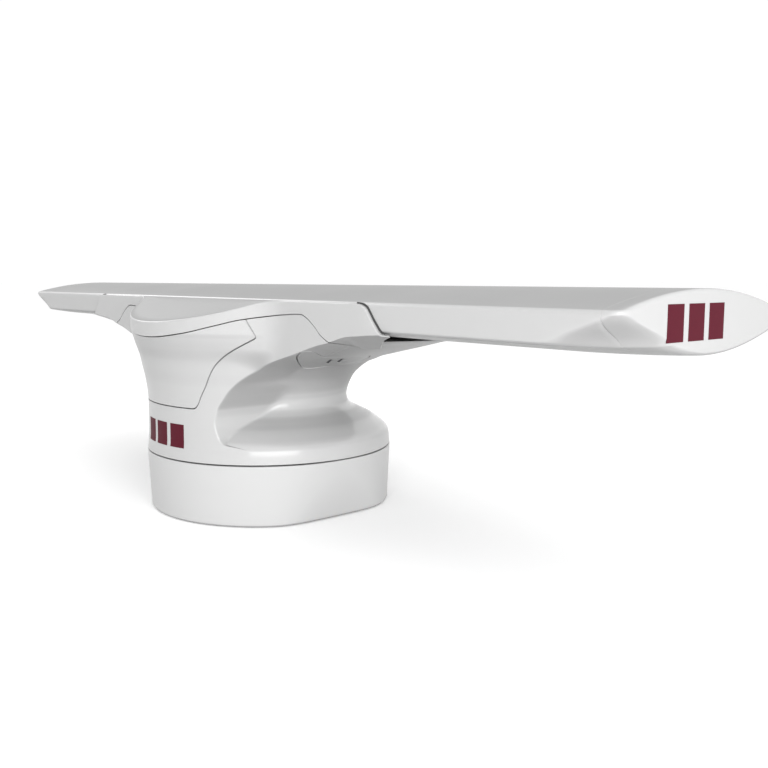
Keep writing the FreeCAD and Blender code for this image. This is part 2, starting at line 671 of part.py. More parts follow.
def make_head_shells():
    bar_room = bar_form("bar_room", d.cradle_gap, 2 * d.wing_reach)
    outer = fuse("housing_outer", neck_form("neck_outer", 0, head_bottom),
                 shield_form("shield_outer", 0, head_bottom), wing_form("wing_outer", 0))
    inner = [neck_form("neck_inner", d.head_wall, head_bottom - 5),
             shield_form("shield_inner", d.head_wall, head_bottom - 5),
             wing_form("wing_inner", d.head_wall)]
    top_room = parting("housing_top_room", d.parting_gap, 900, 900)
    floor_room = box("cradle_floor_room", (-185, -100, cradle_floor_bottom - 0.5),
                     (370, 200, 60))
    hollow_head = outer
    for index, room in enumerate(inner):
        hollow_head = cut(f"hollow_head_{index}", hollow_head, room)
    open_head = cut("open_head", hollow_head, top_room)
    under_bar = cut("head_under_bar", open_head, bar_room)
    slab = box("cheek_room", (-2 * d.wing_reach, -cheek_depth, 0),
               (4 * d.wing_reach, cheek_depth + back_cheek, 400))
    reach = fuse("head_reach", slab, cylinder("hub_reach", d.hub_radius + 1, 70, 400))
    cheek_low = padded("cheek_low", "XZ_Plane",
                       [(-384, 400), (-384, 250), (-271, 250), (-178, 222), (178, 222),
                        (271, 250), (384, 250), (384, 400)], 500)
    cheek = common("cheek_plate", box("cheek_block", (-384, -cheek_depth - 0.5, 200),
                                      (768, CHEEK_THICKNESS, 90)), cheek_low)
    trimmed = common("head_trimmed", under_bar, reach)
    cheek_below = cut("cheek_below_seam", cheek, top_room,
                      box("inside_hub", (-158, -120, 200), (316, 40, 100)))
    shell = cut("housing_shell", fuse("head_with_cheek", trimmed, cheek_below), floor_room)
    cover_points = [(-200, d.seam_high + 20), (-141, d.seam_low + 25), (-147, 246),
                    (-128, 231), (-101, 209), (-84, 181), (-74, 159), (-66, 152),
                    (66, 152), (74, 159), (84, 181), (101, 209), (128, 231), (147, 246),
                    (141, d.seam_low + 25), (200, d.seam_high + 20)]
    front_half = cut("nose_side", box("nose_side_block", (-400, -400, 0), (800, 330, 400)),
                     cylinder("behind_cover", 158, 0, 401))
    cover_room = common("cover_room", padded("cover_room_prism", "XZ_Plane", cover_points,
                                             4 * d.hub_radius), front_half)
    inner_points = [(x - math.copysign(d.cover_gap.number, x),
                     as_size(z) + (d.cover_gap if as_size(z).number < 155 else 0))
                    for x, z in cover_points]
    cover_solid = common("cover_solid", padded("cover_prism", "XZ_Plane", inner_points,
                                               4 * d.hub_radius), front_half)
    hatch_places = ((1, "right"), (-1, "left"))
    hatch_room = []
    hatch_solids = []
    for side, word in hatch_places:
        for grown, into in ((0, hatch_solids), (0.8, hatch_room)):
            leaf = doc.addObject("Part::Cylinder", f"hatch_{word}_{len(into)}_{grown > 0}")
            bind(leaf, Radius=33 + grown, Height=45)
            leaf.Placement = Placement(Vector(side * 186, -40, 195), Rotation())
            into.append(leaf)
    piece(common("front_cover", shell, cover_solid), "front_cover")
    for (side, word), leaf in zip(hatch_places, hatch_solids):
        piece(common(f"hatch_{word}", leaf, shell), f"underside_hatch_{word}")
    piece(cut("head_housing", shell, cover_room, *hatch_room), "head_housing")

    disc = cylinder("hub_disc", d.hub_radius, d.seam_low - 12, 400)
    cheeks = box("cheek_slab", (-380, -cheek_depth, 200), (760, cheek_depth + back_cheek, 200))
    inner_front = -(d.bar_front + d.cradle_gap)
    inner_back = d.bar_tail + d.cradle_gap
    inside_bar = d.edge_height - 30
    roof = padded("roof_room", "YZ_Plane",
                  [(-240, 200), (240, 200),
                   (240, d.edge_height - 7 - (240 - d.bar_tail) * d.roof_slope),
                   (inner_back, d.edge_height - 7), (inner_back, inside_bar),
                   (inner_front, inside_bar), (inner_front, d.edge_height - 1),
                   (-240, d.edge_height - 1 - (240 - d.bar_front) * d.roof_slope)],
                  5 * d.hub_radius)
    block = common("cradle_block", fuse("hub_and_cheeks", disc, cheeks), roof,
                   parting("cradle_room", 0, 378, 325))
    hollow = [box("cradle_hollow", (-400, inner_front, 200), (800, inner_back - inner_front, 200)),
              cylinder("hub_hollow", d.hub_radius - d.head_wall, 200, d.seam_low + 13)]
    tray = box("cradle_tray", (-180, -98, cradle_floor_bottom), (360, 196, CRADLE_FLOOR))
    tongue = box("cradle_tongue", (-35, -(d.hub_radius - 1.5), d.seam_low + 2),
                 (70, 2 * (d.hub_radius - 1.5), 2.5))
    body = block
    for index, room in enumerate(hollow):
        body = cut(f"cradle_body_{index}", body, room)
    ports = [box("cradle_port", (-14, -104, 200), (28, 16, 100))]
    ports += holes("cradle_thread", circle_places(6, 52), 2.6, cradle_floor_bottom - 1,
                   cradle_floor_top + 1)
    ports += holes("bar_bolt_hole", BAR_BOLTS, 4.1, cradle_floor_bottom - 1,
                   cradle_floor_top + 1)
    piece(cut("hub_cradle", fuse("cradle_with_tray", body, tray, tongue), *ports),
          "hub_cradle")


# ---------------------------------------------------------------------------------------------
# Array bar
# ---------------------------------------------------------------------------------------------

BAR_BOLTS = [(sx * 150, y) for sx in (-1, 1) for y in (-40, 60)]


def make_array_bar():
    outer = bar_form("radome_outer", 0, d.bar_half_length)
    inner = bar_form("radome_inner", -d.bar_wall, d.bar_half_length + 5)
    ports = [box("radome_port", (-13, -103, bar_bottom - 10), (26, 14, 40))]
    ports += holes("radome_bolt_hole", BAR_BOLTS, 4.1, bar_bottom - 2, bar_bottom + 8)
    piece(cut("array_radome", cut("radome_tube", outer, inner), *ports), "array_radome")
    plug_length = 12
    for side, word in ((1, "right"), (-1, "left")):
        cap = bar_form(f"cap_face_{word}", 0, d.cap_length / 2)
        place(cap, side * (d.bar_half_length + d.cap_length / 2))
        plug = bar_form(f"cap_plug_{word}", -(d.bar_wall + 0.2), plug_length / 2)
        place(plug, side * (d.bar_half_length - plug_length / 2))
        piece(fuse(f"end_cap_{word}_solid", cap, plug), f"end_cap_{word}")
    spine_walls = [box("spine_web", (-600, -4, bar_bottom + 12), (1200, 4, 34)),
                   box("spine_foot", (-600, -60, bar_bottom + 8), (1200, 130, 4))]
    piece(cut("array_spine", fuse("spine_solid", *spine_walls),
              *holes("spine_bolt_hole", BAR_BOLTS, 4.1, bar_bottom + 7, bar_bottom + 13)),
          "array_spine")
    panel = box("panel_sheet", (-610, -94, d.edge_height - 27), (1220, 4, 24))
    slots = [box(f"slot_{i}", (-600 + 25 * i, -95, d.edge_height - (20 if i % 2 else 16)),
                 (14, 6, 3)) for i in range(48)]
    piece(cut("radiator_panel", panel, *slots), "radiator_panel")
    piece(box("absorber_foam", (-600, -84, d.edge_height - 26), (1200, 20, 22)),
          "absorber_foam")
    piece(box("array_feed_block", (-20, -89, d.edge_height - 26), (40, 4.5, 20)),
          "array_feed_block")
    screws("array_bolts", BAR_BOLTS, 6.5, 5, 4, bar_bottom + 12, 19)


make_base_casing()
make_base_deck()
piece(ring("deck_seal", d.deck_radius, d.deck_radius + 2.6, deck_bottom + 2, deck_bottom + 4),
      "deck_seal")
screws("deck_screws", post_places, 5, 3, 2.5, deck_top, 18)
make_bearing()
make_drive()
make_base_electrics()
make_standby_switch()
make_head_structure()
make_transceiver()
make_array_bar()
make_head_shells()

doc.recompute()

# ---------------------------------------------------------------------------------------------
# Test every object, then write one file for each piece
# ---------------------------------------------------------------------------------------------

failed = [f"{item.Name} ({item.getStatusString()})" for item in doc.Objects
          if {"Invalid", "Error"} & set(item.State)]
if failed:
    raise SystemExit("these objects failed: " + ", ".join(failed))

os.makedirs("parts", exist_ok=True)
for item in pieces:
    shape = item.Shape
    if shape.isNull() or not shape.isValid() or not shape.Solids:
        raise SystemExit(f"{item.Label} has no valid solid")
    shape.exportStep(f"parts/{item.Label}.step")
    print(f"{item.Label}: {len(shape.Solids)} solid(s), {shape.Volume / 1000:.1f} cm3, "
          f"z {shape.BoundBox.ZMin:.1f} to {shape.BoundBox.ZMax:.1f}")
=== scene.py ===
import json
import math

import bmesh
import bpy
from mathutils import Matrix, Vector


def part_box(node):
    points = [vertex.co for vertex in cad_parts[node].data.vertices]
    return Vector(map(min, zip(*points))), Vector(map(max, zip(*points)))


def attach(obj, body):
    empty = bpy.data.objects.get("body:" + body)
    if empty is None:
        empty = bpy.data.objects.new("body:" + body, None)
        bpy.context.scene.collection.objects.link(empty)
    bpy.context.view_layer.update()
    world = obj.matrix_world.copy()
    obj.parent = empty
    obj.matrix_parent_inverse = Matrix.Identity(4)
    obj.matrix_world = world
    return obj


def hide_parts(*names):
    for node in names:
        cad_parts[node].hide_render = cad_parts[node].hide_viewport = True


# Open-array marine radar scanner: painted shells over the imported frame.
# Metres, +Z up, +X along the array bar, -Y the side that it radiates from.

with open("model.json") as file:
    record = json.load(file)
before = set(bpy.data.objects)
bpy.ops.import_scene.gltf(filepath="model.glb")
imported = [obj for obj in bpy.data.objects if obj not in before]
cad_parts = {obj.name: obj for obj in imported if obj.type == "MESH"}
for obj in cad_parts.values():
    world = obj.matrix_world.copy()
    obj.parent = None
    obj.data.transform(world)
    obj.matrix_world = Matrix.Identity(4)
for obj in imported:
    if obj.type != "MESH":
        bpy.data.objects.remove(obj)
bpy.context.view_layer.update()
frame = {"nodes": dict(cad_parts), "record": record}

MM = 0.001

# ---------------------------------------------------------------------------------------------
# Driving sizes, taken from the frame where one of its pieces gives them
# ---------------------------------------------------------------------------------------------


def extent(node):
    """The two corners of a CAD node's box."""
    low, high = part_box(node)
    return Vector(low), Vector(high)


floor_low, _ = extent("head_floor")
radome_low, radome_high = extent("array_radome")
_, cap_high = extent("end_cap_right")

BASE_TOP = 80 * MM
BASE_RADIUS = 174 * MM
FOOT_RADIUS = 170 * MM
# half width across the base's two flats at the foot, and where they would reach at the top
FOOT_SIDE = 156 * MM
FLAT_TOP = BASE_RADIUS + 4 * MM
HEAD_BOTTOM = floor_low.z
BAR_FRONT = -radome_low.y
BAR_TAIL = radome_high.y
BAR_CROWN = radome_high.z
BAR_BELLY = radome_low.z
RADOME_HALF = radome_high.x
BAR_HALF = cap_high.x
BAR_EDGE = BAR_CROWN - 17 * MM
BAR_LIP = BAR_EDGE - 32 * MM
HUB_RADIUS = 192 * MM
HUB_FILLET = 60 * MM
CHEEK_FRONT = 106 * MM
CHEEK_BACK = 167 * MM
# the flare's level top behind the wavy seam, the seam's gap, and the depth where the wavy seam ends
WING_TOP = 247.5 * MM
SEAM_GAP = 1.3 * MM
SEAM_FRONT = 72 * MM
# a level above the whole head, for the solids that cut it
OVERHEAD = 0.4

# heights against half widths or radii, all in millimetres
NOSE_RADIUS = [(80, 173.6), (92, 172.4), (108, 171.2), (145, 171), (162, 171.8), (179, 174),
               (197, 177.6), (213, 181), (229, 186), (243, 190), (252, 192), (300, 192)]
SCOOP_EDGE = [(92, 150), (103, 118), (107, 102), (119, 95), (134, 92), (150, 95), (166, 104),
              (177, 112), (196, 132), (209, 152), (213.5, 163), (230, 221), (241, 260),
              (246, 284), (256, 310)]
# the line where the scoop turns into the flare's underside: height against X, and against depth
CREASE_ALONG = [(170, 106.7), (178, 112.5), (186, 117), (201, 138.5), (222, 210), (238, 276),
                (246, 304), (256, 330)]
CREASE_DEPTH = [(170, 46), (186, 46), (201, 40), (222, 60), (238, 75), (246, 84), (256, 90)]
NECK_RADIUS = [(80, 173.6), (98, 172), (104, 169.5), (108, 166), (112, 161), (121, 148),
               (128, 134), (136, 119), (144, 112.5), (152, 111), (162, 113), (172, 117),
               (181, 122), (193, 134), (203, 149), (211, 166), (218, 181), (229, 187),
               (243, 189), (300, 189)]
WING_REACH = [(196, 120), (203, 150), (212, 178), (220, 214), (230, 264), (240, 312),
              (248, 348), (300, 348)]
WING_DEPTH = [(196, 120), (203, 149), (212, 165), (218, 180), (223, 185), (229, 187),
              (248, 189), (300, 189)]
# distance along the bar against the height of the seam between housing and cradle
SEAM = [(0, 243), (17, 243.4), (73, 250), (115, 260.5), (139, 267.5), (165, 272),
        (195, 275), (229, 276.6), (240, 273), (254, 264.4), (268, 253.3), (278, 248.4),
        (286, 245), (294, 240.5), (306, 238.4), (327, 239.3), (338, 243.4), (360, 251.5),
        (380, 256.5)]
EAR_TOP = [(0, 291), (322, 291), (335, 290.3), (344, 287), (349.4, 281), (354.7, 274.2),
           (360, 268.2), (366, 262), (371, 259.5), (380, 258.5)]
EAR_TIP = 380 * MM
# the cradle's back band: half length, corner radius, top, and where it stops following the hub
BACK_TIP = 346 * MM
BACK_ROUND = 15 * MM
BACK_TOP = 284 * MM
HUB_END = 0.2
# distance along the bar against the height below which an ear leans in under the bar
EAR_FOLD = [(284, 246.5), (312, 253.7), (333, 255.7), (351, 257.4), (380, 259)]
# how steeply it leans in, and by how much that eases over a short stretch of the bar
EAR_LEAN = 4.2
LEAN_EASING = 1.9
LEAN_STRETCH = (0.288, 0.306)
# height against half width of the removable cover's edge
COVER_EDGE = [(158, 71), (170, 77), (181, 84), (195, 92), (209, 101.5), (220, 113),
              (231, 129), (240, 144), (246, 154)]
# the back cheek: its share of the flare's reach, and its depth against height
BACK_SHARE = 0.62
BACK_DEPTH = [(200, 95), (214, 118), (229, 145), (240, 160), (248, 167), (300, 167)]
# plan of an underside hatch, in millimetres
LEAF = [(140, -41), (170, -68), (205, -95), (228, -105), (238, -98), (231, -86), (209, -59),
        (217, -13), (213, 12), (171, 43), (156, 26), (149, -12)]

# ---------------------------------------------------------------------------------------------
# Curves
# ---------------------------------------------------------------------------------------------


class Curve:
    """A smooth curve through points, with no overshoot between them."""

    def __init__(self, points):
        self.xs = [p[0] * MM for p in points]
        self.ys = [p[1] * MM for p in points]
        count = len(points)
        steps = [(self.ys[i + 1] - self.ys[i]) / (self.xs[i + 1] - self.xs[i])
                 for i in range(count - 1)]
        self.slopes = [steps[0]] + [0.0] * (count - 2) + [steps[-1]]
        for i in range(1, count - 1):
            before, after = steps[i - 1], steps[i]
            if before * after > 0:
                wide = self.xs[i + 1] - self.xs[i]
                narrow = self.xs[i] - self.xs[i - 1]
                first, second = 2 * wide + narrow, wide + 2 * narrow
                self.slopes[i] = (first + second) / (first / before + second / after)

    def __call__(self, x):
        if x <= self.xs[0]:
            return self.ys[0]
        if x >= self.xs[-1]:
            return self.ys[-1]
        i = max(k for k in range(len(self.xs) - 1) if self.xs[k] <= x)
        span = self.xs[i + 1] - self.xs[i]
        t = (x - self.xs[i]) / span
        return ((1 + 2 * t) * (1 - t) ** 2 * self.ys[i]
                + t * (1 - t) ** 2 * span * self.slopes[i]
                + t * t * (3 - 2 * t) * self.ys[i + 1]
                + t * t * (t - 1) * span * self.slopes[i + 1])


nose_radius = Curve(NOSE_RADIUS)
scoop_edge = Curve(SCOOP_EDGE)
neck_radius = Curve(NECK_RADIUS)
wing_reach = Curve(WING_REACH)
wing_depth = Curve(WING_DEPTH)
seam_height = Curve(SEAM)
ear_top = Curve(EAR_TOP)
ear_fold = Curve(EAR_FOLD)
crease_along = Curve(CREASE_ALONG)
crease_depth = Curve(CREASE_DEPTH)
back_depth = Curve(BACK_DEPTH)
cover_edge = Curve(COVER_EDGE)


def ease(x, low, high):
    """From 0 at low to 1 at high, level at both ends."""
    t = min(max((x - low) / (high - low), 0.0), 1.0)
    return t * t * (3 - 2 * t)


def ear_depth(x, z, deep):
    """Depth of an ear's outer side, which leans in steeply below its fold."""
    drop = max(ear_fold(x) - z, 0)
    return deep - drop * (EAR_LEAN - LEAN_EASING * ease(x, *LEAN_STRETCH))


def soft_max(a, b, blend):
    """The larger of two, rounded over where they differ by less than blend."""
    if blend < 1e-5:
        return max(a, b)
    h = max(blend - abs(a - b), 0.0) / blend
    return max(a, b) + h ** 3 * blend / 6


def soft_min(a, b, blend):
    return -soft_max(-a, -b, blend)


# ---------------------------------------------------------------------------------------------
# Mesh helpers
# ---------------------------------------------------------------------------------------------


def mesh_object(name, bm):
    """A new object that holds the mesh in bm."""
    bmesh.ops.recalc_face_normals(bm, faces=bm.faces)
    mesh = bpy.data.meshes.new(name)
    bm.to_mesh(mesh)
    bm.free()
    item = bpy.data.objects.new(name, mesh)
    bpy.context.scene.collection.objects.link(item)
    return item


def new_object(name, bm, body, material, smooth_angle=35, replaced=()):
    """A finished piece that rides on a body."""
    item = mesh_object(name, bm)
    mesh = item.data
    for face in mesh.polygons:
        face.use_smooth = True
    mesh.set_sharp_from_angle(angle=math.radians(smooth_angle))
    mesh.materials.append(material)
    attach(item, body)
    if replaced:
        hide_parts(*replaced)
    return item


def skin(bm, rows):
    """A closed solid: quads between rings of points, and a face over each end ring."""
    rings = [[bm.verts.new(p) for p in row] for row in rows]
    for first, second in zip(rings, rings[1:]):
        for i in range(len(first)):
            j = (i + 1) % len(first)
            bm.faces.new((first[i], first[j], second[j], second[i]))
    bm.faces.new(rings[0][::-1])
    bm.faces.new(rings[-1])


def prism(name, outline, low, high, axis):
    """A closed solid between two places along X, Y or Z; the outline gives the other two axes."""
    bm = bmesh.new()
    at = "XYZ".index(axis)
    skin(bm, [[(*point[:at], level, *point[at:]) for point in outline] for level in (low, high)])
    return mesh_object(name, bm)


def shaped(item, tool, operation):
    """The mesh that a boolean of item and tool leaves."""
    modifier = item.modifiers.new("shape", "BOOLEAN")
    modifier.operation = operation
    modifier.solver = "EXACT"
    modifier.object = tool
    result = bpy.data.meshes.new_from_object(
        item.evaluated_get(bpy.context.evaluated_depsgraph_get()))
    item.modifiers.remove(modifier)
    return result


def cut_away(item, tool):
    """Cut a tool's solid out of an item, and drop the tool."""
    bpy.context.view_layer.update()
    item.data = shaped(item, tool, "DIFFERENCE")
    bpy.data.objects.remove(tool)


# ---------------------------------------------------------------------------------------------
# Materials
# ---------------------------------------------------------------------------------------------

# how polished a chalky finish is, from facing down (0) through upright (0.5) to facing up (1)
POLISH = [(0.3, 0.0), (0.5, 0.2), (0.7, 0.35), (0.8, 1.0), (0.92, 1.0), (0.985, 0.0)]
# and its painted shade: the share of its lightness left, by facing, in the same order
SHADE_BY_FACING = [(0.0, 0.66), (0.28, 0.76), (0.42, 1.0), (0.93, 1.0), (0.99, 0.86)]


def level_ramp(tree, source, levels):
    """A grey ramp through (place, level) pairs, driven by a node's result."""
    ramp = tree.nodes.new("ShaderNodeValToRGB")
    stops = ramp.color_ramp.elements
    while len(stops) < len(levels):
        stops.new(0.5)
    for stop, (position, level) in zip(stops, levels):
        stop.position = position
        stop.color = (level, level, level, 1)
    tree.links.new(source.outputs["Result"], ramp.inputs["Fac"])
    return ramp


def paint(name, colour, roughness, coat=0.0, bump=0.015, tint=0.03, metallic=0.0, specular=0.5,
          chalky_and_shaded=False):
    """A finish that varies a little over the piece; a chalky one keeps its polish on edges only and
    has painted shade by facing.
    """
    material = bpy.data.materials.new(name)
    material.use_nodes = True
    tree = material.node_tree
    shader = tree.nodes["Principled BSDF"]
    shader.inputs["Metallic"].default_value = metallic
    shader.inputs["Coat Weight"].default_value = coat
    shader.inputs["Coat Roughness"].default_value = 0.12
    shader.inputs["Specular IOR Level"].default_value = specular
    place = tree.nodes.new("ShaderNodeTexCoord")
    broad = tree.nodes.new("ShaderNodeTexNoise")
    broad.inputs["Scale"].default_value = 7.0
    broad.inputs["Detail"].default_value = 6.0
    fine = tree.nodes.new("ShaderNodeTexNoise")
    fine.inputs["Scale"].default_value = 900.0
    fine.inputs["Detail"].default_value = 2.0
    for noise in (broad, fine):
        tree.links.new(place.outputs["Object"], noise.inputs["Vector"])
    mix = tree.nodes.new("ShaderNodeMix")
    mix.data_type = "RGBA"
    mix.inputs["A"].default_value = (*colour, 1)
    mix.inputs["B"].default_value = (*[c * (1 - tint) for c in colour], 1)
    tree.links.new(broad.outputs["Fac"], mix.inputs["Factor"])
    shade = mix.outputs["Result"]
    rough = tree.nodes.new("ShaderNodeMapRange")
    rough.inputs["To Min"].default_value = roughness * 0.85
    rough.inputs["To Max"].default_value = roughness * 1.15
    tree.links.new(broad.outputs["Fac"], rough.inputs["Value"])
    tree.links.new(rough.outputs["Result"], shader.inputs["Roughness"])
    if chalky_and_shaded:
        surface = tree.nodes.new("ShaderNodeNewGeometry")
        split = tree.nodes.new("ShaderNodeSeparateXYZ")
        upward = tree.nodes.new("ShaderNodeMapRange")
        upward.inputs["From Min"].default_value = -1.0
        tree.links.new(surface.outputs["Normal"], split.inputs["Vector"])
        tree.links.new(split.outputs["Z"], upward.inputs["Value"])
        polish = level_ramp(tree, upward, POLISH)
        for socket, dull, shiny in (("Coat Weight", 0.0, coat),
                                    ("Specular IOR Level", 0.05, specular)):
            wear = tree.nodes.new("ShaderNodeMapRange")
            wear.inputs["To Min"].default_value = dull
            wear.inputs["To Max"].default_value = shiny
            tree.links.new(polish.outputs["Color"], wear.inputs["Value"])
            tree.links.new(wear.outputs["Result"], shader.inputs[socket])
        # painted shade: the colour is darkened where the face turns down, and a little where it
        # turns up
        facing_shade = tree.nodes.new("ShaderNodeMix")
        facing_shade.data_type = "RGBA"
        facing_shade.blend_type = "MULTIPLY"
        facing_shade.inputs["Factor"].default_value = 1.0
        tree.links.new(shade, facing_shade.inputs["A"])
        tree.links.new(level_ramp(tree, upward, SHADE_BY_FACING).outputs["Color"], facing_shade.inputs["B"])
        shade = facing_shade.outputs["Result"]
    tree.links.new(shade, shader.inputs["Base Color"])
    relief = tree.nodes.new("ShaderNodeBump")
    relief.inputs["Strength"].default_value = bump
    relief.inputs["Distance"].default_value = 0.0005
    tree.links.new(fine.outputs["Fac"], relief.inputs["Height"])
    tree.links.new(relief.outputs["Normal"], shader.inputs["Normal"])
    return material


WHITE = paint("white_gelcoat", (0.34, 0.34, 0.34), 0.34, coat=1.0, chalky_and_shaded=True)
BASE_WHITE = paint("white_paint", (0.37, 0.37, 0.37), 0.38, coat=0.7, chalky_and_shaded=True)
SHADOW = paint("dark_gap", (0.03, 0.03, 0.033), 0.7, bump=0.1)
RUBBER = paint("black_rubber", (0.03, 0.03, 0.03), 0.75, bump=0.2)
BLACK = paint("black_plastic", (0.035, 0.035, 0.04), 0.45, bump=0.1)
MAROON = paint("maroon_paint", (0.062, 0.006, 0.013), 0.55, specular=0.08)
METAL = paint("bare_aluminium", (0.62, 0.63, 0.65), 0.35, metallic=1.0, bump=0.06)
STEEL = paint("steel", (0.5, 0.5, 0.5), 0.3, metallic=1.0, bump=0.05)
BRASS = paint("brass", (0.72, 0.5, 0.22), 0.3, metallic=1.0)
BOARD = paint("board", (0.02, 0.16, 0.07), 0.45)

BY_SLOT = {"white_painted_aluminium": BASE_WHITE, "white_gelcoat": WHITE,
           "black_rubber": RUBBER, "green_board": BOARD, "black_plastic": BLACK,
           "bare_aluminium": METAL, "brass": BRASS, "steel": STEEL, "maroon_paint": MAROON}
for entry in frame["record"]["subparts"]:
    node = frame["nodes"][entry["node"]]
    finish = BY_SLOT[entry["material_slot"]]
    for material_slot in node.material_slots:
        material_slot.material = finish

# ---------------------------------------------------------------------------------------------
# Base
# ---------------------------------------------------------------------------------------------

ROUND = 360
CASING_WALL = 5 * MM
CASING_FLOOR = 6 * MM
MOUNT_X, MOUNT_Y = 95 * MM, 100 * MM
MOUNT_HOLE = 5.5 * MM
INLET_HOLE = 16.1 * MM
FLAT_BLEND = 22 * MM


def base_radius(angle, height):
    """Round at the top; drawn in to two flats at the foot."""
    t = height / BASE_TOP
    round_part = FOOT_RADIUS + (BASE_RADIUS - FOOT_RADIUS) * t
    flat = FOOT_SIDE + (FLAT_TOP - FOOT_SIDE) * t
    side = abs(math.cos(angle))
    if side < 0.05:
        return round_part
    return soft_min(round_part, flat / side, FLAT_BLEND)


def make_base():
    """A tub with a wall and a floor; mount holes, cable inlet and switch opening are cut out."""
    angles = [2 * math.pi * (i + 0.5) / ROUND for i in range(ROUND)]
    bottom_round, top_round, inner_round = 3 * MM, 1.2 * MM, 2 * MM
    # each level is a height and how far the skin is set in there
    levels = [(0, 30 * MM)]
    for step in range(9):
        turn = math.pi / 2 * step / 8
        levels.append((bottom_round * (1 - math.cos(turn)), bottom_round * (1 - math.sin(turn))))
    for step in range(1, 25):
        levels.append((bottom_round + (BASE_TOP - top_round - bottom_round) * step / 25, 0))
    for step in range(5):
        turn = math.pi / 2 * step / 4
        levels.append((BASE_TOP - top_round * (1 - math.sin(turn)),
                       top_round * (1 - math.cos(turn))))
    levels += [(BASE_TOP, CASING_WALL), (CASING_FLOOR + inner_round, CASING_WALL),
               (CASING_FLOOR, CASING_WALL + inner_round)]
    rows = []
    for z, inset in levels:
        radii = [base_radius(a, z) - inset for a in angles]
        rows.append([(r * math.cos(a), r * math.sin(a), z) for a, r in zip(angles, radii)])
    bm = bmesh.new()
    skin(bm, rows)
    shell = new_object("base_shell", bm, "pedestal", BASE_WHITE,
                       replaced=("base_casing",))
    holes = [(x, y, MOUNT_HOLE) for x in (-MOUNT_X, MOUNT_X) for y in (-MOUNT_Y, MOUNT_Y)]
    gland_low, gland_high = extent("cable_gland")
    holes.append((0, (gland_low.y + gland_high.y) / 2, INLET_HOLE))
    for x, y, radius in holes:
        turns = [2 * math.pi * i / 48 for i in range(48)]
        circle = [(x + radius * math.cos(a), y + radius * math.sin(a)) for a in turns]
        cut_away(shell, prism("floor_hole_tool", circle, -1 * MM, CASING_FLOOR + 1 * MM, "Z"))
    (x0, y0, z0), (x1, _, z1) = extent("switch_bezel")
    cut_away(shell, prism("switch_hole_tool", [(x0, z0), (x1, z0), (x1, z1), (x0, z1)],
                          y0, BASE_RADIUS + 10 * MM, "Y"))
    shell.data.set_sharp_from_angle(angle=math.radians(35))


# ---------------------------------------------------------------------------------------------
# Head housing
# ---------------------------------------------------------------------------------------------

# heights where parts of the head's skin begin, end or blend
CHEEK_START, CHEEK_FULL = 0.19, 0.232
CHEEK_EDGE = 0.205
BACK_CHEEK_FULL = 0.225
FLARE_START = 0.196
SHARP_RIDGE = 0.212
LIP_BLEND = (0.104, 0.118)
RIDGE_FADE = (0.175, SHARP_RIDGE)
# the skin is built past the seam, up to here
SKIN_TOP = 0.279
# share of the hub's radius where its round front goes straight
SHOULDER = 0.78


def hub_depth(along, radius):
    """Depth of the hub's round front, running straight on past its shoulder."""
    shoulder = SHOULDER * radius
    edge = math.sqrt(radius ** 2 - min(along, shoulder) ** 2)
    return edge - max(along - shoulder, 0) * shoulder / edge


def front_radius(angle, z):
    """The nose and the cheeks beside it, joined by a fillet."""
    along, across = abs(math.cos(angle)), -math.sin(angle)
    column = nose_radius(z)
    fillet = HUB_FILLET * ease(z, CHEEK_START, CHEEK_FULL)
    if z < CHEEK_START or column * along < 0.06:
        return column
    low, high = 0.1, 0.6
    # halved until the radius meets the blended front
    for _ in range(18):
        radius = (low + high) / 2
        disc = hub_depth(radius * along, column)
        if radius * across > soft_max(disc, CHEEK_FRONT, fillet):
            high = radius
        else:
            low = radius
    return radius


def ridge_point(z):
    """Outer edge of the scoop at height z: distance along the bar, and depth."""
    width = scoop_edge(z)
    disc = math.sqrt(max(nose_radius(z) ** 2 - width ** 2, 0))
    return width, max(disc, CHEEK_FRONT) if z > CHEEK_EDGE else disc


def crease_point(z):
    """Inner edge of the scoop at height z."""
    if z > CREASE_ALONG[0][0] * MM:
        return crease_along(z), crease_depth(z)
    width = scoop_edge(z)
    return width, math.sqrt(max(neck_radius(z) ** 2 - width ** 2, 0))


def scoop_radius(along, across, z):
    """The scoop's wall, straight in plan from its outer edge to its inner edge."""
    (x0, y0), (x1, y1) = ridge_point(z), crease_point(z)
    if y0 - y1 < 1 * MM:
        return x0 / max(along, 1e-4)
    facing = along * (y0 - y1) + across * (x1 - x0)
    return (x0 * (y0 - y1) + y0 * (x1 - x0)) / facing if facing > 1e-4 else 1.0


def head_radius(angle, z):
    """Distance of the housing's skin from the turning axis."""
    side, across = max(abs(math.cos(angle)), 1e-4), math.sin(angle)
    body = neck_radius(z)
    front = front_radius(angle, z) if across < 0 else 0
    if z > FLARE_START:
        wing = math.hypot(side / wing_reach(z), across / wing_depth(z)) ** -1
        limit = CHEEK_BACK / max(across, 1e-3) if across >= 0 else front
        body = max(body, min(wing, max(body, limit)))
    if across >= 0:
        if z <= CHEEK_EDGE:
            return body
        cheek = min(back_depth(z) / max(across, 1e-3), BACK_SHARE * wing_reach(z) / side)
        return soft_max(body, cheek, 6 * MM * ease(z, CHEEK_EDGE, BACK_CHEEK_FULL))
    wall = scoop_radius(side, -across, z)
    nose = soft_min(front, wall, 4 * MM)
    if z > SHARP_RIDGE:
        return nose if math.atan2(side, -across) < crease_angle(z) else body
    blend = 7 * MM * ease(z, *LIP_BLEND) * (1 - ease(z, *RIDGE_FADE))
    return soft_max(body, nose, blend * ease(front - wall, 0, 12 * MM))


def ridge_angle(z):
    """Angle from the front's centre line to the scoop's outer edge."""
    return math.atan2(*ridge_point(z))


def crease_angle(z):
    """Angle from the front's centre line to the scoop's inner edge."""
    return math.atan2(*crease_point(z))


def clustered(low, high, count):
    """Places from low up to but not including high, closer together near both ends."""
    return [low + (high - low) * (0.5 - 0.5 * math.cos(math.pi * i / count)) for i in range(count)]


